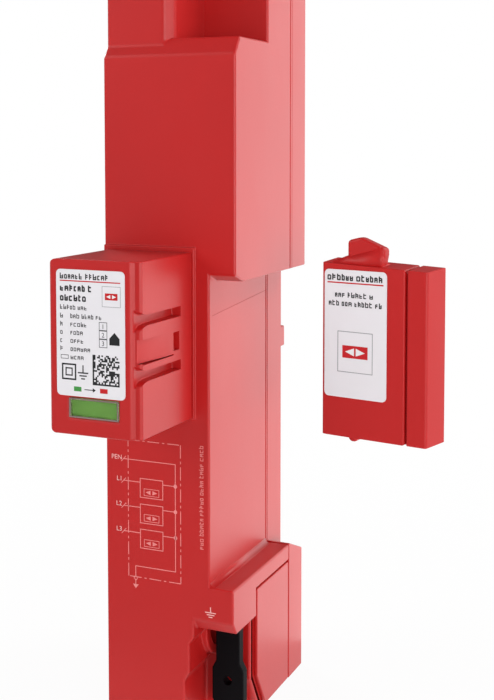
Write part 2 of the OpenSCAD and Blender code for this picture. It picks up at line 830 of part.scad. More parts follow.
module gap_carrier() {
    color([0.3, 0.3, 0.32]) difference() {
        union() {
            block([x_left + wall + fit_gap, y_carrier, z_gap(gap_count - 1) - gap_pitch / 2],
                  [x_body - wall - fit_gap, y_bar, z_gap(0) + gap_pitch / 2]);
            for (i = [0:gap_count - 1]) translate([x_gap, y_carrier, z_gap(i)]) rotate([90, 0, 0])
                cylinder(r = gap_r + fit_gap + ring_t, h = ring_l);
        }
        for (i = [0:gap_count - 1]) translate([x_gap, y_carrier, z_gap(i)]) rotate([90, 0, 0]) {
            cylinder(r = gap_r + fit_gap, h = ring_l + over);
            translate([0, 0, -carrier_t - over])
                cylinder(r = gap_stud_r + fit_gap, h = carrier_t + 2 * over);
        }
    }
}

// One spark gap: ribbed ceramic body between two electrode caps, with a stud at the rear
module spark_gap(i) {
    rib = (gap_l - 2 * gap_cap_t) / 9;
    color([0.9, 0.9, 0.86]) translate([x_gap, y_carrier, z_gap(i)]) rotate([90, 0, 0])
        rotate_extrude() polygon(concat(
            [[0, -carrier_t], [gap_stud_r, -carrier_t], [gap_stud_r, 0],
             [gap_cap_r, 0], [gap_cap_r, gap_cap_t]],
            [for (k = [0:8]) each [
                [gap_r - (k % 2) * ring_t, gap_cap_t + k * rib],
                [gap_r - (k % 2) * ring_t, gap_cap_t + (k + 1) * rib]]],
            [[gap_cap_r, gap_l - gap_cap_t], [gap_cap_r, gap_l], [0, gap_l]]
        ));
}

// One phase strap: a round tab on its spark gap, a link to the left and a riser to the top
strap_t = 0.8;
strap_w = 3;
strap_room = 0.25;      // distance from the outer strap to the housing's wall
strap_pitch = (body_w / 2 - wall - strap_room - 1.2 * strap_w) / (gap_count - 1);
strap_tab_r = 4;
strap_top_gap = 12;
module phase_strap(i) {
    x_riser = x_gap - 0.7 * strap_w - i * strap_pitch;
    y_strap = y_carrier - gap_l;
    color([0.8, 0.5, 0.3]) union() {
        translate([x_gap, y_strap, z_gap(i)]) rotate([90, 0, 0]) cylinder(r = strap_tab_r, h = strap_t);
        block([x_riser - strap_w / 2, y_strap - strap_t, z_gap(i) - strap_w / 2],
              [x_gap, y_strap, z_gap(i) + strap_w / 2]);
        block([x_riser - strap_w / 2, y_strap - strap_t, z_gap(i) - strap_w / 2],
              [x_riser + strap_w / 2, y_strap, z_top - strap_top_gap]);
    }
}

// Earth bar: from the three spark gaps down behind the terminal core to the clamp
bar_t = 1.2;
bar_w = 10;
z_bar_link = z_term + wall;
module earth_bar() {
    color([0.8, 0.5, 0.3]) union() {
        block([x_gap - bar_w / 2, y_bar, z_bar_link],
              [x_gap + bar_w / 2, y_bar + bar_t, z_gap(0) + bar_w / 2]);
        block([x_gap - bar_w / 2, y_bar, z_term - bar_w],
              [x_entry + clamp_w / 2, y_bar + bar_t, z_term - wall - fit_gap]);
        block([x_gap - bar_w / 2, y_bar, z_term - bar_w],
              [x_gap + bar_w / 2, y_bar + bar_t, z_bar_link]);
        block([x_entry - clamp_w / 2, y_bar, z_clamp],
              [x_entry + clamp_w / 2, y_bar + bar_t, z_term - wall - fit_gap]);
    }
}

// Cap that lies beside the arrester, taken off: a hollow cover with a groove down its front
cap_wall = 1.5;
cap_groove_w = 0.6;
cap_groove_d = 1.2;
cap_edge = 0.8;
cap_draft = 0.8;        // what the front is narrower than the rear, on the right
cap_fall_side = 1;      // what the top falls from its left to its right end
cap_fall_front = 0.6;   // and from the rear to the front
cap_top_wall = 3.5;
cap_apart = 25;         // distance from the terminal box's side to the cap
cap_low = 0.55;         // depth of the cap's foot below the module's underside
cap_place = [x_term + cap_apart, y_front, -z_module - cap_low];
cap_hook_left = 6.6;
cap_hook_w = 10.4;
cap_hook_h = 6.1;
cap_hook_in = 1.2;      // distance of the hook behind the cap's front
cap_hook_t = 3.4;
cap_catch_left = 6.4;
cap_catch_w = 2.3;
cap_catch_h = 1.7;

module in_cap_place() {
    translate(cap_place) rotate([0, 0, cap_turn]) children();
}

module cap_body() {
    groove_end = cap_plate_w + cap_groove_w;
    difference() {
        along_z(0, cap_h, concat(
            [[0, cap_d]],
            arc(cap_edge, cap_edge, cap_edge, 180, 270, 4),
            [[cap_plate_w, 0], [cap_plate_w, cap_groove_d],
             [groove_end, cap_groove_d], [groove_end, 0]],
            arc(cap_w - cap_draft - cap_edge, cap_edge, cap_edge, 270, 360, 4),
            [[cap_w, cap_d]]
        ));
        // slanted top, with the groove carried across it
        translate([0, cap_d, cap_h])
            rotate([atan(cap_fall_front / cap_d), atan(cap_fall_side / cap_w), 0])
                block([-over, -cap_d - 2 * over, 0], [cap_w + 2 * over, 2 * over, 2 * over]);
        block([cap_plate_w, -over, cap_h - cap_fall_side - cap_groove_d],
              [groove_end, cap_d + over, cap_h + over]);
    }
}

module cap_shell() {
    color(red) in_cap_place() difference() {
        union() {
            cap_body();
            // wedge hook on top
            along_y(cap_hook_in, cap_hook_in + cap_hook_t, [
                [cap_hook_left, cap_h - cap_wall],
                [cap_hook_left, cap_h + 0.85 * cap_hook_h],
                [cap_hook_left + 0.34 * cap_hook_w, cap_h + cap_hook_h],
                [cap_hook_left + cap_hook_w, cap_h + 0.57 * cap_hook_h],
                [cap_hook_left + cap_hook_w, cap_h + 0.3 * cap_hook_h],
                [cap_hook_left + 0.94 * cap_hook_w, cap_h - cap_wall]
            ]);
            // catch at the foot
            along_y(cap_d * 0.3, cap_d * 0.8, [
                [cap_catch_left, cap_wall],
                [cap_catch_left, -0.6 * cap_catch_h],
                [cap_catch_left + 0.3 * cap_catch_w, -cap_catch_h],
                [cap_catch_left + cap_catch_w, -cap_catch_h],
                [cap_catch_left + cap_catch_w, cap_wall]
            ]);
        }
        block([cap_wall, cap_wall + cap_groove_d, cap_wall],
              [cap_w - cap_draft - cap_wall, cap_d + over, cap_h - cap_top_wall]);
    }
}

cap_label_left = 0.9;
cap_label_w = 17.6;
cap_label_low = 10.2;
cap_label_h = 32.6;
module cap_label() {
    color("white") in_cap_place() translate([cap_label_left, -foil_t, cap_label_low])
        round_plate(cap_label_w, cap_label_h, foil_t, label_corner_r);
}

front_housing();
rear_housing();
module_housing();
rating_label();
window_lens();
status_flag();
flag_backplate();
module_chassis();
varistor();
trip_arm();
gap_carrier();
spark_gap(0);  // spark_gap_1
spark_gap(1);  // spark_gap_2
spark_gap(2);  // spark_gap_3
phase_strap(0);  // phase_strap_1
phase_strap(1);  // phase_strap_2
phase_strap(2);  // phase_strap_3
earth_bar();
clamp_body();
clamp_slide();
slide_spring();
terminal_cover();
rail_latch();
latch_spring();
housing_screws();
cap_shell();
cap_label();
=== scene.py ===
"""Looks of a rail-mounted combined surge arrester: moulded red housing halves with rounded edges,
the display module with its printed foil and status window, the printed wiring scheme on the front,
the black clamp slide in the terminal recess, and the cap that stands beside it.

All lengths are in metres, in the frame of the CAD model: +Z up, the front looks along -Y.
"""

import json
import math

import bmesh
import bpy
import numpy as np
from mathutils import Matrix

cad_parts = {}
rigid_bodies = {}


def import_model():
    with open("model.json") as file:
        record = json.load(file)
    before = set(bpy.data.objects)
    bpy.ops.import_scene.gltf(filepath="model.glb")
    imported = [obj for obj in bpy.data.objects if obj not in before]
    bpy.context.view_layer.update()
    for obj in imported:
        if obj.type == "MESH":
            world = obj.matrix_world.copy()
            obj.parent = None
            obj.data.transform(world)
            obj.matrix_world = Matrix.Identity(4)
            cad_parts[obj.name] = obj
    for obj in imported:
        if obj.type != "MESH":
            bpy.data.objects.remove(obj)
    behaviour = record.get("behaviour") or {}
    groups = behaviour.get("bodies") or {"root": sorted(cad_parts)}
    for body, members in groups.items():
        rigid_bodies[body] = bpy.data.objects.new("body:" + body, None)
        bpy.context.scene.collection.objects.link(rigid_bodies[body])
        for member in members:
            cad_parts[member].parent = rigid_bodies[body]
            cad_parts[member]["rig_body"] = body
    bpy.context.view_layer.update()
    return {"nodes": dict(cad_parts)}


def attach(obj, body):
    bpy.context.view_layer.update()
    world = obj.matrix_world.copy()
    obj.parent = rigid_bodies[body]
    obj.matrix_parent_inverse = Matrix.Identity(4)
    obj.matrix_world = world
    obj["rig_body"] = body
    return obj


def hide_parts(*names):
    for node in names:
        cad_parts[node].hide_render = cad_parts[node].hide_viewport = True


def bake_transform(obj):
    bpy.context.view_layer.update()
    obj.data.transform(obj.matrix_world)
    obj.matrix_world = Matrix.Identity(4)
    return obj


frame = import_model()
NODES = frame["nodes"]
BODY_OF = {node.name: node["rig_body"] for node in NODES.values()}

MM = 0.001
IMAGE = (494, 700)              # the photograph's frame, in pixels

# Camera, worked out from the photograph's edges
FOCAL_PX = 1193
AXIS_PX = (247, 215)            # where the lens axis meets the picture
YAW_DEG = 23.3                  # the camera stands to the right of the front
PITCH_DEG = 3.6                 # and looks slightly down
EYE_MM = (150.35, -339.0, 52.5)
SENSOR_MM = 36

# Places in the CAD model, in mm
FRONT = -52.4                   # front face of the housing
FOIL = -81.3                    # printed face of the rating label
FOOT = -110.1
LEDGE = 79                      # just under the ledge of the notch

# Limits of the rounding
WELD = 0.002 * MM               # corners closer than this become one
FLAT_DEG = 0.4                  # faces that meet at less than this become one
NEEDLE_DEG = 25                 # a face's corner sharper than this isn't rounded
ROOM = 2.3                      # length that an edge needs at its ends, in rounding widths
SMOOTH_DEG = 32                 # faces that meet at less than this are shaded as one
CAPITAL = 1.4                   # the font's size for capitals of height 1

SEEING = ("Is Camera Ray", "Is Glossy Ray", "Is Transmission Ray")


# Shader maths


class Socket:
    """An output socket that Python's operators work on: each operator adds one Math node."""

    def __init__(self, sheet, output):
        self.sheet = sheet
        self.output = output

    def maths(self, operation, *terms):
        return self.sheet.node("ShaderNodeMath", {"operation": operation}, dict(enumerate(terms)))

    def __add__(self, other):
        return self.maths("ADD", self, other)

    def __radd__(self, other):
        return self.maths("ADD", other, self)

    def __sub__(self, other):
        return self.maths("SUBTRACT", self, other)

    def __rsub__(self, other):
        return self.maths("SUBTRACT", other, self)

    def __mul__(self, other):
        return self.maths("MULTIPLY", self, other)

    def __rmul__(self, other):
        return self.maths("MULTIPLY", other, self)


class Finish:
    """One material, or the world: a first shader whose sockets are filled by name."""

    def __init__(self, name, made=None, shader="Principled BSDF"):
        self.material = made or bpy.data.materials.new(name)
        self.material.use_nodes = True
        self.tree = self.material.node_tree
        self.shader = self.tree.nodes[shader]

    def fill(self, node, key, value):
        """Sets or links one input socket."""
        if isinstance(value, Socket):
            self.tree.links.new(value.output, node.inputs[key])
        else:
            node.inputs[key].default_value = value

    def node(self, kind, settings=None, inputs=None, output=0):
        """Adds a node of this type, applies its settings first, then fills its sockets."""
        made = self.tree.nodes.new(kind)
        for key, value in (settings or {}).items():
            setattr(made, key, value)
        for key, value in (inputs or {}).items():
            self.fill(made, key, value)
        return Socket(self, made.outputs[output])

    def place(self, stretch=(1, 1, 1)):
        """The point on the piece, in metres of the CAD frame, drawn out along its axes."""
        point = self.node("ShaderNodeTexCoord", output="Object")
        if stretch == (1, 1, 1):
            return point
        return self.node("ShaderNodeMapping", inputs={"Vector": point, "Scale": stretch})

    def noise(self, size, detail=3, roughness=0.5, stretch=(1, 1, 1)):
        """Soft noise from 0 to 1 whose blobs are about size metres across."""
        inputs = {"Vector": self.place(stretch), "Scale": 1 / size, "Detail": detail, "Roughness": roughness}
        return self.node("ShaderNodeTexNoise", inputs=inputs)

    def mix(self, share, first, second):
        """Colour mix: first where share is 0, second where it is 1."""
        settings = {"data_type": "RGBA"}
        return self.node("ShaderNodeMix", settings, {0: share, 6: first, 7: second}, output=2)

    def ramp(self, value, low, high, ends=(0, 1)):
        """The first of ends where value is below low, the second above high, even between them."""
        inputs = {"Value": value, "From Min": low, "From Max": high, "To Min": ends[0], "To Max": ends[1]}
        return self.node("ShaderNodeMapRange", {"clamp": True}, inputs)

    def ray_kinds(self, *kinds):
        """1 for rays of any of these kinds, 0 for the others."""
        total = self.node("ShaderNodeLightPath", output=kinds[0])
        for kind in kinds[1:]:
            total = total.maths("MAXIMUM", total, self.node("ShaderNodeLightPath", output=kind))
        return total

    def bump(self, height, distance, strength=1):
        """Surface normal of a height from 0 to 1 that stands for this distance in metres."""
        inputs = {"Height": height, "Distance": distance, "Strength": strength}
        return self.node("ShaderNodeBump", inputs=inputs)

    def set(self, **sockets):
        for key, value in sockets.items():
            self.fill(self.shader, key.replace("_", " "), value)
        return self


def shade(colour, factor):
    """The colour made lighter or darker, with alpha 1."""
    return (*[min(1, c * factor) for c in colour[:3]], 1)


def moulded(name, colour, roughness=0.42, grain=0.5 * MM, depth=0.01 * MM, specular=0.36, coat=0):
    """Spark-eroded moulding: fine grain in the surface, faint flow clouds and scuffs in the colour."""
    f = Finish(name)
    cloud = f.noise(38 * MM, detail=2)
    grit = f.noise(grain, detail=2, roughness=0.6)
    flow = f.noise(9 * MM, detail=4, stretch=(1, 1, 0.4))
    scuff = f.ramp(f.noise(2.5 * MM, detail=5, roughness=0.7, stretch=(1, 1, 3)), 0.62, 0.8)
    base = f.mix(cloud, shade(colour, 0.93), shade(colour, 1.07))
    base = f.mix(grit * 0.35, base, shade(colour, 0.84))
    base = f.mix(scuff * 0.12, base, shade(colour, 1.5))
    f.set(
        Base_Color=base,
        Roughness=roughness - 0.06 + 0.07 * flow + 0.06 * grit + 0.08 * scuff,
        Specular_IOR_Level=specular,
        Coat_Weight=coat,
        Coat_IOR=1.2,
        Coat_Roughness=0.4,
        Normal=f.bump(grit + 0.5 * flow, depth),
    )
    return f.material


def metal(name, colour, roughness=0.3, stretch=(1, 1, 0.05), tarnish=0.35):
    """Drawn or rolled metal: fine lines along one axis, and patches of tarnish."""
    f = Finish(name)
    line = f.noise(0.25 * MM, detail=2, stretch=stretch)
    patch = f.noise(3 * MM, detail=5, roughness=0.65)
    base = f.mix(patch * tarnish, shade(colour, 1), shade(colour, 0.55))
    f.set(
        Base_Color=base,
        Metallic=1,
        Roughness=roughness + 0.15 * patch + 0.1 * line,
        Normal=f.bump(line, 0.004 * MM),
    )
    return f.material


def glazed(name, colour, roughness=0.2):
    """Fired ceramic: a thin glaze over a body with faint specks."""
    f = Finish(name)
    speck = f.ramp(f.noise(0.6 * MM, detail=4, roughness=0.7), 0.6, 0.75)
    wave = f.noise(4 * MM, detail=2)
    f.set(
        Base_Color=f.mix(speck * 0.25, shade(colour, 1), shade(colour, 0.6)),
        Roughness=roughness + 0.15 * wave,
        Coat_Weight=0.5,
        Normal=f.bump(wave, 0.02 * MM),
    )
    return f.material


def foil(name, colour):
    """Printed polyester foil: satin, with a trace of the adhesive's waves under it."""
    f = Finish(name)
    wave = f.noise(5 * MM, detail=3)
    fibre = f.noise(0.4 * MM, detail=2)
    f.set(
        Base_Color=f.mix(wave * 0.5 + 0.2 * fibre, shade(colour, 1), shade(colour, 0.95)),
        Roughness=0.36 + 0.12 * wave + 0.05 * fibre,
        Specular_IOR_Level=0.4,
        Normal=f.bump(wave, 0.01 * MM),
    )
    return f.material


def ink(name, colour, strength=0.25, specular=0.3):
    """Pad print: its colour breaks up a little where the grain below is deep."""
    f = Finish(name)
    wear = f.ramp(f.noise(0.35 * MM, detail=3, roughness=0.6), 0.45, 0.8)
    f.set(
        Base_Color=f.mix(wear * strength, shade(colour, 1), shade(colour, 0.6)),
        Roughness=0.5 + 0.1 * wear,
        Specular_IOR_Level=specular,
    )
    return f.material


def clear(name):
    """Thin clear pane, slightly tinted, with fine wiping marks."""
    f = Finish(name)
    wipe = f.noise(1.5 * MM, detail=4, stretch=(0.3, 1, 1))
    f.set(
        Base_Color=f.mix(wipe * 0.2, (0.95, 1, 0.97, 1), (0.85, 0.92, 0.88, 1)),
        Roughness=0.04 + 0.06 * wipe,
        Transmission_Weight=1,
        IOR=1.3,
    )
    return f.material


RED = (0.52, 0.009, 0.009)
WHITE = (0.78, 0.76, 0.79)
BLACK = (0.003, 0.002, 0.003)

SLOTS = {
    "housing_red": moulded("housing_red", RED, coat=1),
    "module_red": moulded("module_red", RED, roughness=0.44, coat=0.9),
    "cap_red": moulded("cap_red", RED, roughness=0.46),
    "label_white": foil("label_white", WHITE),
    "window_clear": clear("window_clear"),
    "flag_green": moulded("flag_green", (0.4, 0.8, 0.16), roughness=0.5),
    "flag_red": moulded("flag_red", (0.8, 0.02, 0.02), roughness=0.5),
    "carrier_grey": moulded("carrier_grey", (0.07, 0.07, 0.08), roughness=0.5),
    "varistor_blue": moulded("varistor_blue", (0.02, 0.06, 0.26), roughness=0.35, grain=1.2 * MM),
    "spring_bronze": metal("spring_bronze", (0.7, 0.42, 0.2), roughness=0.28),
    "ceramic": glazed("ceramic", (0.72, 0.7, 0.64)),
    "copper": metal("copper", (0.8, 0.36, 0.2), roughness=0.32),
    "clamp_brass": metal("clamp_brass", (0.72, 0.6, 0.3), roughness=0.3),
    "slide_black": moulded("slide_black", BLACK, roughness=0.55, specular=0.08),
    "latch_black": moulded("latch_black", (0.02, 0.02, 0.022), roughness=0.5),
    "spring_steel": metal("spring_steel", (0.6, 0.6, 0.6), roughness=0.25),
    "screw_steel": metal("screw_steel", (0.62, 0.62, 0.6), roughness=0.35, stretch=(1, 1, 1)),
}
INKS = {
    "ink_pale": ink("ink_pale", (0.84, 0.47, 0.45)),
    "ink_pink": ink("ink_pink", (0.8, 0.25, 0.24)),
    "ink_white": ink("ink_white", (0.8, 0.79, 0.8), strength=0.1),
    "ink_black": ink("ink_black", (0.02, 0.02, 0.022), strength=0.4),
    "ink_red": ink("ink_red", (0.55, 0.01, 0.015)),
    # painted shade, no print: the dark strip that stands for the shaded gap between the ledge and the
    # terminal cover
    "gap_shade_paint": ink("gap_shade_paint", (0.04, 0.001, 0.001), strength=0.1, specular=0),
    "ink_seam": ink("ink_seam", (0.38, 0.008, 0.008), strength=0.1),
    "ink_green": ink("ink_green", (0.06, 0.3, 0.06)),
    "ink_grey": ink("ink_grey", (0.3, 0.3, 0.32)),
}
SLOT_OF_NODE = {
    "front_housing": "housing_red", "rear_housing": "housing_red", "terminal_cover": "housing_red",
    "module_housing": "module_red", "rating_label": "label_white", "window_lens": "window_clear",
    "status_flag": "flag_green", "flag_backplate": "flag_red", "module_chassis": "carrier_grey",
    "varistor": "varistor_blue", "trip_arm": "spring_bronze", "gap_carrier": "carrier_grey",
    "spark_gap_1": "ceramic", "spark_gap_2": "ceramic", "spark_gap_3": "ceramic",
    "phase_strap_1": "copper", "phase_strap_2": "copper", "phase_strap_3": "copper",
    "earth_bar": "copper", "clamp_body": "clamp_brass", "clamp_slide": "slide_black",
    "slide_spring": "spring_steel", "rail_latch": "latch_black", "latch_spring": "spring_steel",
    "housing_screws": "screw_steel", "cap_shell": "cap_red", "cap_label": "label_white",
}
for node, slot in SLOT_OF_NODE.items():
    NODES[node].data.materials.clear()
    NODES[node].data.materials.append(SLOTS[slot])


# Rounded mouldings in place of the CAD solids


def read(items, key, width=1, kind=float):
    """One property of all mesh elements as an array."""
    values = np.empty(len(items) * width, kind)
    items.foreach_get(key, values)
    return values.reshape(-1, width) if width > 1 else values


def edge_weights(mesh, width, angle, sharp_zones):
    """The bevel weight of each edge: 1 where its two faces meet at more than angle, less where the
    shortest edge at either of its ends leaves room for only a part of the width. Edges at a
    needle-sharp corner of a face get 0, and so do hollow corners above the ledge and the edges
    whose middle lies in one of the sharp zones (low and high corner, in mm)."""
    points = read(mesh.vertices, "co", 3)
    ends = read(mesh.edges, "vertices", 2, np.int32)
    shortest = np.full(len(points), np.inf)
    length = np.linalg.norm(points[ends[:, 0]] - points[ends[:, 1]], axis=1)
    np.minimum.at(shortest, ends.ravel(), np.repeat(length, 2))
    room = shortest[ends].min(axis=1)

    normals, centres = read(mesh.polygons, "normal", 3), read(mesh.polygons, "center", 3)
    sizes = read(mesh.polygons, "loop_total", kind=np.int32)
    edge_of_loop = read(mesh.loops, "edge_index", kind=np.int32)
    face_of_loop = np.repeat(np.arange(len(sizes)), sizes)
    one, two = face_of_loop[np.argsort(edge_of_loop, kind="stable")].reshape(-1, 2).T
    bevelled = (normals[one] * normals[two]).sum(axis=1) < math.cos(math.radians(angle))
    hollow = ((centres[two] - centres[one]) * normals[one]).sum(axis=1) > 0
    middle = points[ends].mean(axis=1) / MM
    bevelled &= ~(hollow & (middle[:, 2] > LEDGE))
    for low, high in sharp_zones:
        bevelled &= ((middle < low) | (middle > high)).any(axis=1)

    first = np.cumsum(sizes) - sizes
    last = first + sizes - 1
    before = np.arange(len(edge_of_loop)) - 1
    before[first] = last
    corner = points[read(mesh.loops, "vertex_index", kind=np.int32)]
    step = np.roll(corner, -1, axis=0) - corner
    step[last] = corner[first] - corner[last]
    step /= np.linalg.norm(step, axis=1)[:, None]
    needle = -(step * step[before]).sum(axis=1) > math.cos(math.radians(NEEDLE_DEG))
    bevelled[edge_of_loop[needle]] = False
    bevelled[edge_of_loop[before[needle]]] = False
    return np.where(bevelled, np.clip(room / (ROOM * width), 0, 1), 0)


def corner_normals(mesh, limit):
    """Shading normals, one for each corner: the mean of the faces round its vertex that lie within
    limit degrees of the corner's own face, weighted by their areas. So flat faces stay flat, and the
    rounded edges run evenly from one to the next."""
    normals, area = read(mesh.polygons, "normal", 3), read(mesh.polygons, "area")
    face = np.repeat(np.arange(len(area)), read(mesh.polygons, "loop_total", kind=np.int32))
    vertex = read(mesh.loops, "vertex_index", kind=np.int32)
    order = np.argsort(vertex, kind="stable")
    count = np.bincount(vertex)[vertex]
    start = np.searchsorted(vertex[order], vertex)
    own = np.repeat(np.arange(len(vertex)), count)
    step = np.arange(len(own)) - np.repeat(np.cumsum(count) - count, count)
    other = face[order[start[own] + step]]
    near = (normals[face[own]] * normals[other]).sum(axis=1) > math.cos(math.radians(limit))
    total = normals[face] * 1e-12
    np.add.at(total, own[near], normals[other[near]] * area[other[near], None])
    length = np.linalg.norm(total, axis=1)[:, None]
    return np.where(length > 0, total / np.maximum(length, 1e-30), (0, 0, 1))


def welded(node):
    """A copy that stands for a CAD node, with welded corners and flat faces joined."""
    work = bmesh.new()
    work.from_mesh(NODES[node].data)
    bmesh.ops.remove_doubles(work, verts=work.verts, dist=WELD)
    bmesh.ops.dissolve_limit(work, angle_limit=math.radians(FLAT_DEG), verts=work.verts, edges=work.edges)
    for face in work.faces:
        face.smooth = True
    mesh = bpy.data.meshes.new(node + "_look")
    work.to_mesh(mesh)
    work.free()
    mesh.materials.append(SLOTS[SLOT_OF_NODE[node]])
    piece = bpy.data.objects.new(node + "_look", mesh)
    bpy.context.scene.collection.objects.link(piece)
    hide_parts(node)
    return piece


def rounded(node, width, sharp_zones=(), segments=3, angle=28):
    """A welded copy with rounded edges."""
    piece = welded(node)
    weight = edge_weights(piece.data, width, angle, sharp_zones).astype(np.float32)
    piece.data.attributes.new("bevel_weight_edge", "FLOAT", "EDGE").data.foreach_set("value", weight)
    bevel = piece.modifiers.new("edges", "BEVEL")
    bevel.width = width
    bevel.segments = segments
    bevel.limit_method = "WEIGHT"
    bevel.use_clamp_overlap = False
    mesh = bpy.data.meshes.new_from_object(piece.evaluated_get(bpy.context.evaluated_depsgraph_get()))
    mesh.normals_split_custom_set(corner_normals(mesh, SMOOTH_DEG).tolist())
    piece.modifiers.clear()
    piece.data = mesh
    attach(piece, BODY_OF[node])


def sprung(node):
    """A welded copy of a coil, with its place baked into the mesh."""
    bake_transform(welded(node))


# What keeps its sharp edges: low and high corners of boxes, in mm
GROOVES = ((8.5, -82, -10), (12, -58, 10.5))
MODULE_CORNERS = (((-17, -82, 19.5), (-13.2, -79, 23)), ((-17, -82, -23), (-13.2, -79, -19.5)))
TERMINAL_INSIDE = ((5, -22, -112), (20, -10, -70))
FUNNEL_EDGE = ((16, -37, -112), (20.5, -27, -100))
for node, width, zones in (
    ("front_housing", 0.65, (TERMINAL_INSIDE, FUNNEL_EDGE)), ("rear_housing", 0.4, ()),
    ("module_housing", 0.45, (GROOVES, *MODULE_CORNERS)), ("terminal_cover", 0.3, ()), ("cap_shell", 0.8, ()),
    ("clamp_slide", 0.4, ()), ("rail_latch", 0.3, ()), ("status_flag", 0.1, ()),
):
    rounded(node, width * MM, zones)

sprung("latch_spring")
sprung("slide_spring")


# New pieces: thin closed prints, and small closed forms. All ride on the housing's body.

ROOT = BODY_OF["front_housing"]


def add(name, mesh, material):
    """Links a mesh as a new piece of the housing's body."""
    mesh.materials.append(material)
    piece = bpy.data.objects.new(name, mesh)
    bpy.context.scene.collection.objects.link(piece)
    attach(piece, ROOT)


def prism(outline, face, proud):
    """Closed slab over a polygon given as (x, z) points in mm, running anticlockwise seen from the
    front: front points at face - proud, rear points sunk by the same depth behind the face."""
    flat = np.asarray(outline, float)
    count = len(flat)
    front = np.column_stack([flat[:, 0], np.full(count, face - proud), flat[:, 1]])
    rear = front + [0, 2 * proud, 0]
    ring = np.arange(count)
    nxt = (ring + 1) % count
    sides = np.column_stack([ring, ring + count, nxt + count, nxt])
    return np.vstack([front, rear]) * MM, [ring.tolist(), (ring[::-1] + count).tolist(), *sides.tolist()]


def print_marks(name, outlines, colour, face, proud=0.02, turn=None):
    """One mesh with a slab for each outline, each a trace prouder than the one before, so that no
    two of them lie in one plane. turn is a matrix and a shift for a turned face."""
    verts, faces, start = [], [], 0
    for k, outline in enumerate(outlines):
        v, f = prism(outline, face, proud * (1 + 0.03 * (k % 7)))
        verts.append(v)
        faces += [[i + start for i in face_points] for face_points in f]
        start += len(v)
    verts = np.vstack(verts)
    if turn is not None:
        verts = verts @ turn[0].T + turn[1]
    mesh = bpy.data.meshes.new(name)
    mesh.from_pydata(verts.tolist(), [], faces)
    add(name, mesh, INKS[colour])


def lettering(name, texts, height, colour, face, proud=0.02):
    """Plain generic marks as a mesh: texts are (words, x, z of the baseline) in mm."""
    pieces = []
    for words, x, z in texts:
        curve = bpy.data.curves.new(name, "FONT")
        curve.body = words
        curve.size = height * CAPITAL * MM
        curve.extrude = proud * MM
        curve.resolution_u = 3
        made = bpy.data.objects.new(name, curve)
        bpy.context.scene.collection.objects.link(made)
        made.rotation_euler = (math.pi / 2, 0, 0)
        made.location = (x * MM, face * MM, z * MM)
        pieces.append(made)
    bpy.context.view_layer.update()
    work = bmesh.new()
    for made in pieces:
        mesh = bpy.data.meshes.new_from_object(made.evaluated_get(bpy.context.evaluated_depsgraph_get()))
        mesh.transform(made.matrix_world)
        work.from_mesh(mesh)
        bpy.data.meshes.remove(mesh)
        bpy.data.objects.remove(made)
    bmesh.ops.remove_doubles(work, verts=work.verts, dist=0.001 * MM)
    mesh = bpy.data.meshes.new(name)
    work.to_mesh(mesh)
    work.free()
    mesh.materials.clear()
    add(name, mesh, INKS[colour])


def window_rim(name, low, high, profile, colour):
    """Closed ring round a window. Each point (inset, y) of the closed profile runs round the
    rectangle from low to high (x, z) moved inwards by the inset, all in mm."""
    inset, y = np.asarray(profile, float).T
    (x0, z0), (x1, z1) = low, high
    x = np.stack([x0 + inset, x1 - inset, x1 - inset, x0 + inset])
    z = np.stack([z0 + inset, z0 + inset, z1 - inset, z1 - inset])
    points = np.stack([x, np.broadcast_to(y, x.shape), z], axis=-1).reshape(-1, 3) * MM
    n = len(inset)
    side, k = np.divmod(np.arange(4 * n), n)
    far_side, far_k = (side + 1) % 4 * n, (k + 1) % n
    faces = np.column_stack([side * n + k, far_side + k, far_side + far_k, side * n + far_k])
    mesh = bpy.data.meshes.new(name)
    mesh.from_pydata(points.tolist(), [], faces.tolist())
    add(name, mesh, moulded(name, colour, roughness=0.35))


def loft(name, sections, smooth, slot, turn=None):
    """Closed bar through sections: an array (sections, points, 3) in mm, whose points run clockwise
    seen along the way from the first section to the last. The faces that start at the first smooth
    points are shaded as one. turn is a matrix and a shift for a turned part."""
    count, n = sections.shape[:2]
    bay, k = np.divmod(np.arange((count - 1) * n), n)
    after = bay * n + (k + 1) % n
    sides = np.column_stack([bay * n + k, after, after + n, bay * n + k + n])
    points = sections.reshape(-1, 3) * MM
    if turn is not None:
        points = points @ turn[0].T + turn[1]
    ends = [np.arange(n)[::-1].tolist(), (np.arange(n) + (count - 1) * n).tolist()]
    mesh = bpy.data.meshes.new(name)
    mesh.from_pydata(points.tolist(), [], [*sides.tolist(), *ends])
    mesh.polygons.foreach_set("use_smooth", np.append(k < smooth, (False, False)))
    add(name, mesh, SLOTS[slot])


# Outlines, as (x, z) points in mm


def stroke(a, b, w):
    """Four corners of a straight stroke of width w from a to b, anticlockwise."""
    a, b = np.asarray(a, float), np.asarray(b, float)
    along = (b - a) / np.linalg.norm(b - a)
    side = np.array([-along[1], along[0]]) * w / 2
    return [a - side, b - side, b + side, a + side]


def path(points, w):
    """Strokes along an open path, each a little longer so that the corners close."""
    points = np.asarray(points, float)
    made = []
    for a, b in zip(points[:-1], points[1:]):
        step = (b - a) / np.linalg.norm(b - a) * w / 2
        made.append(stroke(a - step, b + step, w))
    return made


def dashes(a, b, w, long=3.6, gap=0.9, dot=0.7):
    """Dash-dot strokes from a to b."""
    a, b = np.asarray(a, float), np.asarray(b, float)
    length = np.linalg.norm(b - a)
    along = (b - a) / length
    made, at = [], 0
    while at < length:
        made.append(stroke(a + along * at, a + along * min(at + long, length), w))
        at += long + gap
        if at + dot < length:
            made.append(stroke(a + along * at, a + along * (at + dot), w))
        at += dot + gap
    return made


def disc(centre, r, count=24):
    """Points of a circle, anticlockwise."""
    t = np.arange(count) / count * 2 * math.pi
    return np.column_stack([centre[0] + r * np.cos(t), centre[1] + r * np.sin(t)])


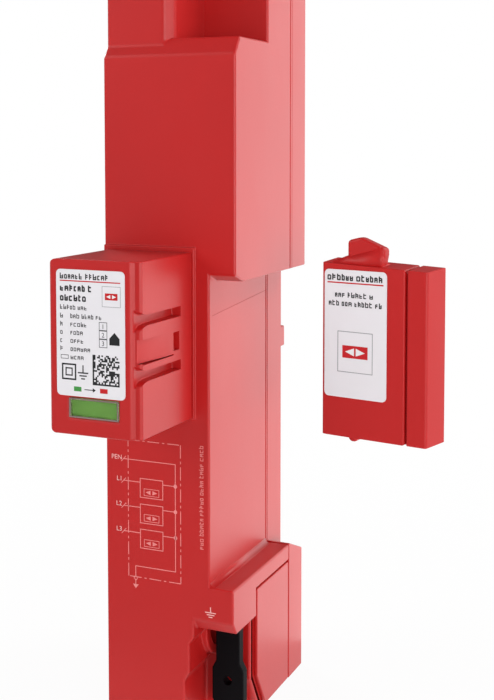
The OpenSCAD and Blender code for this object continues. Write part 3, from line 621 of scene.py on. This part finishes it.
def quarter_hollow(corner, radius, steps):
    """Outline that fills a hollow corner open to +X and +Z: a quarter circle of this radius
    about corner + (radius, radius), and a back that lies 0.1 mm in the walls."""
    t = np.linspace(0, math.pi / 2, steps + 1)
    arc = np.asarray(corner) + radius * (1 - np.column_stack([np.cos(t), np.sin(t)]))
    sunk = np.asarray(corner) - 0.1
    return np.vstack([arc, (arc[-1][0], sunk[1]), sunk, (sunk[0], arc[0][1])])


def box(x0, z0, x1, z1):
    """Corners of an upright rectangle, anticlockwise."""
    return [(x0, z0), (x1, z0), (x1, z1), (x0, z1)]


def frame_lines(x0, z0, x1, z1, w):
    """The four sides of a box as strokes."""
    return path([*box(x0, z0, x1, z1), (x0, z0)], w)


def arrow_heads(x, z, far, half):
    """Two arrow heads that point away from each other, far apart on both sides of (x, z)."""
    return [[(x + s * far, z), (x + s * 0.25, z + s * half), (x + s * 0.25, z - s * half)] for s in (1, -1)]


def earth_sign(x, z, stem, halves, step, w):
    """A stem that ends at (x, z), and bars of these half lengths, each a step below the last."""
    bars = [path([(x - half, z - step * k), (x + half, z - step * k)], w)[0] for k, half in enumerate(halves)]
    return path([(x, z + stem), (x, z)], w) + bars


def glyph_row(rng, x0, x1, z, h, bold=0.3):
    """A row of made-up signs that only looks like small print: each has a stem and some bars."""
    made, x = [], x0
    word = rng.integers(3, 8)
    while x + 0.62 * h < x1:
        w = h * rng.uniform(0.42, 0.62)
        t = h * bold * 0.5
        tall = h if rng.random() < 0.4 else 0.74 * h
        made += path([(x + t / 2, z + t / 2), (x + t / 2, z + tall - t / 2)], t)
        if rng.random() < 0.7:
            made += path([(x + w, z + t / 2), (x + w, z + 0.7 * h - t / 2)], t)
        for level in rng.choice([0.08, 0.4, 0.7], size=2, replace=False):
            made.append(stroke((x + t / 2, z + level * h), (x + w, z + level * h), t))
        x += w + 0.28 * h
        word -= 1
        if word == 0:
            x += 0.4 * h
            word = rng.integers(3, 8)
    return made


# Wiring scheme on the lower body's front: a dash-dot frame, a bus, and three boxes between taps

LINE = 0.22
FRAME_LEFT, FRAME_RIGHT, FRAME_TOP, FRAME_LOW = -9.0, 7.2, -30.4, -68.9
BUS_X = 5.6
ENTRY_X = -10.4
PEN_Z = -35.9
RETURN_Z = -65.8                # where the bus turns back to the earth point
POINT_X, POINT_Z, POINT_R = -6.8, -69.2, 0.5
ARROW_BASE = POINT_Z - 1.8
BOX_X = (-5.25, 1.75)
BOX_H = 5.3
BOX_TOPS = (-40.9, -48.1, -55.2)
TAP_Z = (-42.0, -49.1, -56.3)
SIGN_H, SIGN_INSET = 1.9, 1.2   # the arrester sign in each box

scheme = []
corners = [(FRAME_LEFT, FRAME_TOP), (FRAME_RIGHT, FRAME_TOP), (FRAME_RIGHT, FRAME_LOW),
           (FRAME_LEFT, FRAME_LOW)]
for a, b in zip(corners, corners[1:] + corners[:1]):
    scheme += dashes(a, b, LINE)
scheme += path([(ENTRY_X, PEN_Z), (BUS_X, PEN_Z), (BUS_X, RETURN_Z), (POINT_X, RETURN_Z),
                (POINT_X, POINT_Z + 0.6)], LINE)
for top, tap in zip(BOX_TOPS, TAP_Z):
    x0, x1 = BOX_X
    scheme += path([(x0, top), (x1, top), (x1, top - BOX_H), (x0, top - BOX_H), (x0, top)], LINE)
    scheme += path([(ENTRY_X, tap), (x0, tap)], LINE)
    scheme += path([(x1, tap), (BUS_X, tap)], LINE)
    scheme.append(disc((BUS_X, tap), 0.55))
    low = top - BOX_H + 0.6
    scheme += frame_lines(x0 + SIGN_INSET, low, x1 - SIGN_INSET, low + SIGN_H, 0.16)
    scheme.append([(x0 + 1.7, low + 0.95), (x0 + 3.2, low + 0.35), (x0 + 3.2, low + 1.55)])
    scheme.append([(x1 - 1.7, low + 0.95), (x1 - 3.2, low + 1.55), (x1 - 3.2, low + 0.35)])
for z in (PEN_Z, *TAP_Z):
    scheme += path([(ENTRY_X - 0.7, z - 0.7), (ENTRY_X + 0.6, z + 0.7)], 0.2)
scheme += path([*disc((POINT_X, POINT_Z), POINT_R, 12), (POINT_X + POINT_R, POINT_Z)], 0.18)
scheme.append([(POINT_X, ARROW_BASE - 1.2), (POINT_X + 0.9, ARROW_BASE), (POINT_X - 0.9, ARROW_BASE)])
scheme += path([(POINT_X, POINT_Z - POINT_R), (POINT_X, ARROW_BASE)], LINE)
print_marks("wiring_print", scheme, "ink_pink", FRONT)
lettering("wiring_marks", [("PEN", -14.3, -36.2), ("L1", -12.7, -42.2), ("L2", -12.9, -49.3),
                           ("L3", -12.9, -56.5)], 1.35, "ink_pale", FRONT)
print_marks("earth_print", earth_sign(16.15, -75.6, 1.4, (1.5, 1.0, 0.45), 0.62, 0.26), "ink_pale", FRONT)


# Rating label: u runs to the right and v down from its upper left corner

LABEL = (-13.45, 19.9)
FIELD = (10.5, 21.3)            # upper left corner of the field of squares
CELL, CELLS = 0.43, 18
rng = np.random.default_rng(12)


def on_label(u, v):
    return LABEL[0] + u, LABEL[1] - v


def label_box(u0, v0, u1, v1):
    return box(*on_label(u0, v1), *on_label(u1, v0))


def label_frame(u0, v0, u1, v1, w):
    return frame_lines(*on_label(u0, v1), *on_label(u1, v0), w)


dark = []
for u0, u1, v, h, bold in (
    (1.1, 16.2, 2.4, 1.45, 0.42), (1.1, 10.6, 5.5, 1.6, 0.5), (1.1, 8.6, 8.0, 1.6, 0.5),
    (1.1, 9.6, 10.2, 1.2, 0.34), (1.1, 2.6, 12.4, 1.2, 0.34), (4.1, 13.8, 12.4, 1.2, 0.34),
    (1.1, 2.6, 14.5, 1.2, 0.34), (4.1, 8.8, 14.5, 1.2, 0.34), (1.1, 2.6, 16.6, 1.2, 0.34),
    (4.1, 8.4, 16.6, 1.2, 0.34), (1.1, 2.6, 18.7, 1.2, 0.34), (4.1, 8.6, 18.7, 1.2, 0.34),
    (1.1, 2.6, 20.8, 1.2, 0.34), (4.1, 9.9, 20.8, 1.2, 0.34), (4.1, 8.2, 22.9, 1.2, 0.34),
):
    x0, z = on_label(u0, v)
    dark += glyph_row(rng, x0, LABEL[0] + u1, z, h, bold)
# a fuse, three numbered boxes, a pentagon, a double square, an earth sign and an arrow
dark += label_frame(1.3, 21.9, 3.4, 22.8, 0.14)
for k in range(3):
    dark += label_frame(12.5, 13.0 + 2.15 * k, 14.7, 15.0 + 2.15 * k, 0.14)
dark.append([on_label(*p) for p in ((15.4, 18.6), (18.3, 18.6), (18.3, 16.9), (16.85, 15.4), (15.4, 16.9))])
dark += label_frame(1.7, 24.2, 5.5, 28.0, 0.42)
dark += label_frame(2.7, 25.2, 4.5, 27.0, 0.34)
stem, *bars = earth_sign(*on_label(7.7, 26.2), 1.8, (1.35, 0.9, 0.4), 0.75, 0.34)
dark += [*bars, stem]
dark += path([on_label(8.2, 30.4), on_label(10.6, 30.4)], 0.22)
dark.append([on_label(10.5, 29.85), on_label(10.5, 30.95), on_label(11.4, 30.4)])
# a field of squares in no real code
for row in range(CELLS):
    for column in range(CELLS):
        if column == 0 or row == CELLS - 1 or rng.random() < 0.48:
            u, v = FIELD[0] + column * CELL, FIELD[1] + row * CELL
            dark.append(label_box(u, v, u + CELL, v + CELL))
for name, outlines, colour, proud in (
    ("label_print", dark, "ink_black", 0.012),
    ("label_rule", [label_box(1.1, 2.75, 18.6, 3.05)], "ink_red", 0.013),
    ("label_red_square", [label_box(12.6, 29.8, 14.8, 31.0)], "ink_red", 0.013),
    ("label_sign", [label_box(14.2, 5.6, 17.8, 7.3)], "ink_red", 0.013),
    ("label_arrows", arrow_heads(*on_label(16, 6.45), 1.4, 0.5), "ink_white", 0.016),
    ("label_frame", label_frame(13.4, 3.9, 18.6, 9.0, 0.12), "ink_grey", 0.012),
    ("label_green_square", [label_box(5.0, 29.8, 7.2, 31.0)], "ink_green", 0.013),
):
    print_marks(name, outlines, colour, FOIL, proud)
lettering("label_numbers", [(str(k + 1), *on_label(13.15, 14.6 + 2.15 * k)) for k in range(3)], 1.2,
          "ink_black", FOIL, proud=0.012)

# Small print that runs up the front beside the scheme
small_print = glyph_row(rng, 0, 28.8, 0, 1.3, 0.26)
upright = [[(14.1 - v, -58.4 + u) for u, v in np.asarray(mark)] for mark in small_print]
print_marks("edge_print", upright, "ink_pink", FRONT)


# Trim on the housing

SIDE = 15.85                    # right face of the lower body
TERMINAL_TOP = -68.8
RECESS_LEDGE = 21.75            # right face of the ledge in front of the terminal cover
FILLET_STEPS = 8

window_rim("window_rim", (-10.05, -18), (4.15, -13),
           [(0, -80.9), (0, -81.1), (0.1, -81.18), (0.28, -81.1), (0.4, -80.9)], (0.26, 0.2, 0.18))

# fillet between the lower body's right face and the top of the terminal box
outline = quarter_hollow((SIDE, TERMINAL_TOP), 1.5, FILLET_STEPS)
loft("box_fillet", np.stack([np.insert(outline, 1, y, axis=1) for y in (-51.8, -12.5)]), FILLET_STEPS,
     "housing_red")

# mould line, and painted shade for the gap between the ledge and the terminal cover: both as prints whose
# plane is turned to face +X
facing_right = (np.array([[0, -1, 0], [1, 0, 0], [0, 0, 1]]), np.zeros(3))
print_marks("mould_line", [stroke((-50.3, 5.3), (-11.4, 8), 0.14)], "ink_seam", -SIDE, turn=facing_right)
print_marks("cover_gap_painted_shade", path([(-37.0, -81.6), (-37.0, -99.1), (-31.1, -109.2)], 1.0), "gap_shade_paint",
            -RECESS_LEDGE, turn=facing_right)


# The cap's foil and hook, in the cap's own place: x and z from its lower left corner, y from its front

CAP_TURN = math.radians(-10)
CAP_ORIGIN = np.array([47.85, -52.4, -23.05]) * MM
CAP_TOP = 42.8                  # upper edge of the cap's foil
CAP_LEFT = 0.9                  # its left edge
CAP_FOIL = -0.2                 # its printed face
SIGN = (CAP_LEFT + 8.8, CAP_TOP - 20.8)
spin = np.array([[math.cos(CAP_TURN), -math.sin(CAP_TURN), 0], [math.sin(CAP_TURN), math.cos(CAP_TURN), 0],
                 [0, 0, 1]])
cap_turned = (spin, CAP_ORIGIN)


def cap_row(u0, u1, v, h, bold):
    return glyph_row(rng, CAP_LEFT + u0, CAP_LEFT + u1, CAP_TOP - v, h, bold)


cap_dark = cap_row(0.8, 16.8, 2.7, 1.6, 0.45) + cap_row(3.0, 14.4, 7.0, 1.35, 0.42)
cap_dark += cap_row(1.2, 16.5, 9.2, 1.35, 0.42)
for name, outlines, colour, proud in (
    ("cap_print", cap_dark, "ink_black", 0.012),
    ("cap_rule", [box(CAP_LEFT + 0.8, CAP_TOP - 3.5, CAP_LEFT + 16.7, CAP_TOP - 3.15)], "ink_red", 0.013),
    ("cap_sign", [box(SIGN[0] - 3.6, SIGN[1] - 1.6, SIGN[0] + 3.6, SIGN[1] + 1.6)], "ink_red", 0.013),
    ("cap_arrows", arrow_heads(*SIGN, 2.8, 1), "ink_white", 0.016),
    ("cap_frame", frame_lines(CAP_LEFT + 3.9, CAP_TOP - 26, CAP_LEFT + 13.7, CAP_TOP - 15.7, 0.2), "ink_grey",
     0.012),
):
    print_marks(name, outlines, colour, CAP_FOIL, proud, turn=cap_turned)

# ramp in front of the hook, under a ridge that rises to the right: sections at x, ridge height z
ramp = [[(x, 1.25, z), (x, 0.35, 43.6), (x, 4.2, 43.6), (x, 2, z - 0.05)]
        for x, z in ((1.9, 44.4), (6.6, 46.3), (15.9, 48.9), (16.8, 47.2))]
loft("cap_hook_ramp", np.array(ramp), 1, "cap_red", turn=cap_turned)


# Camera, floor and light


def aim_camera():
    """The photograph's camera: the long side of the frame is the sensor's width."""
    data = bpy.data.cameras.new("camera")
    data.sensor_width = SENSOR_MM
    data.lens = FOCAL_PX / max(IMAGE) * SENSOR_MM
    data.shift_x = (IMAGE[0] / 2 - AXIS_PX[0]) / max(IMAGE)
    data.shift_y = (AXIS_PX[1] - IMAGE[1] / 2) / max(IMAGE)
    camera = bpy.data.objects.new("camera", data)
    camera.location = [c * MM for c in EYE_MM]
    camera.rotation_euler = (math.radians(90 - PITCH_DEG), 0, math.radians(YAW_DEG))
    bpy.context.scene.collection.objects.link(camera)
    bpy.context.scene.camera = camera


def backed(f, kind, share, dim):
    """Lays white over the finish's first shader by share, then black over both by dim. kind is the
    type of the plain shaders, and the last of them goes to the output."""
    white = f.node(kind, inputs={"Color": (1, 1, 1, 1), "Strength": 1})
    black = f.node(kind, inputs={"Color": (0, 0, 0, 1), "Strength": 0})
    mixed = f.node("ShaderNodeMixShader", inputs={0: share, 1: Socket(f, f.shader.outputs[0]), 2: white})
    return f.node("ShaderNodeMixShader", inputs={0: dim, 1: mixed, 2: black}).output


def make_floor():
    """Pale floor under the foot. Rays from the camera see it nearly white near the object, with a
    trace of its shadow, and wholly white from 0.35 m away, so that no horizon shows. Glossy rays
    see the same white behind the object, and a dimmer floor in front of it."""
    half, z = 4, FOOT * MM - 0.0002
    mesh = bpy.data.meshes.new("floor")
    mesh.from_pydata([(x, y, z) for x, y in box(-half, -half, half, half)], [], [(0, 1, 2, 3)])
    floor = bpy.data.objects.new("floor", mesh)
    bpy.context.scene.collection.objects.link(floor)
    f = Finish("floor")
    f.set(Base_Color=(0.82, 0.82, 0.82, 1), Roughness=0.9, Specular_IOR_Level=0.1)
    distance = f.node("ShaderNodeVectorMath", {"operation": "LENGTH"}, {0: f.place()}, output=1)
    depth = f.node("ShaderNodeSeparateXYZ", inputs={0: f.place()}, output="Y")
    share = f.ray_kinds(*SEEING) * f.ramp(distance, 0.12, 0.35, (0.94, 1))
    dim = f.ray_kinds("Is Glossy Ray") * f.ramp(depth, -0.12, -0.05, (0.75, 0))
    surface = backed(f, "ShaderNodeEmission", share, dim)
    f.tree.links.new(surface, f.tree.nodes["Material Output"].inputs["Surface"])
    mesh.materials.append(f.material)


def make_world(level):
    """White backdrop for camera and transmitted rays, soft grey light for the rest. Glossy rays see
    the white backdrop behind the object, and a dimmer room above it and in front of it."""
    world = bpy.data.worlds.new("studio")
    bpy.context.scene.world = world
    f = Finish("studio", world, "Background")
    f.set(Color=(1, 1, 1, 1), Strength=level)
    way = f.node("ShaderNodeTexCoord", output="Generated")
    side, depth, height = (f.node("ShaderNodeSeparateXYZ", inputs={0: way}, output=axis) for axis in "XYZ")
    panel = f.ramp(side, -0.35, 0.1) * f.ramp(side, 0.48, 0.7, (1, 0.4)) * f.ramp(depth, 0, 0.5)
    room = f.ramp(depth, -0.5, 0, (0.15, 0.05)) + panel * f.ramp(height, 0.25, 0.7, (0.95, 0.2))
    dim = f.ray_kinds("Is Glossy Ray") * (1 - room)
    surface = backed(f, "ShaderNodeBackground", f.ray_kinds(*SEEING), dim)
    f.tree.links.new(surface, f.tree.nodes["World Output"].inputs["Surface"])


def make_lamp(name, place, target, size, power):
    """A soft box of this width and height at place, turned towards target, unseen by the camera."""
    data = bpy.data.lights.new(name, "AREA")
    data.shape = "RECTANGLE"
    data.size, data.size_y = size
    data.energy = power
    lamp = bpy.data.objects.new(name, data)
    lamp.location = place
    aim = np.asarray(target) - np.asarray(place)
    flat = math.hypot(aim[0], aim[1])
    lamp.rotation_euler = (math.atan2(flat, -aim[2]), 0, math.atan2(aim[1], aim[0]) - math.pi / 2)
    lamp.visible_camera = False
    bpy.context.scene.collection.objects.link(lamp)


aim_camera()
make_floor()
make_world(0.42)
make_lamp("key", (-1.3, -0.8, 0.75), (0, 0, 0.03), (0.9, 0.9), 10.5)
make_lamp("fill", (1.0, -1.0, 0.04), (0, 0, 0), (0.8, 0.28), 9)
make_lamp("side", (1.0, 0.45, 1.1), (0, 0, 0.03), (0.6, 0.6), 8.5)
make_lamp("low_side", (1.1, 0.2, -0.02), (0, 0, -0.02), (0.5, 0.4), 1.2)
make_lamp("left", (-1.1, 0.6, 0.7), (0, 0, 0.03), (0.6, 0.6), 7)
# two panels that are there for the gloss of the faces on the right
make_lamp("panel", (0.25, 0.5, 0.155), (0, -0.02, 0.155), (0.32, 0.53), 0.6)
make_lamp("low_panel", (0.13, 0.23, -0.08), (0.09, 0.138, 0.92), (0.16, 0.5), 0.18)
bpy.context.scene.view_settings.view_transform = "Standard"
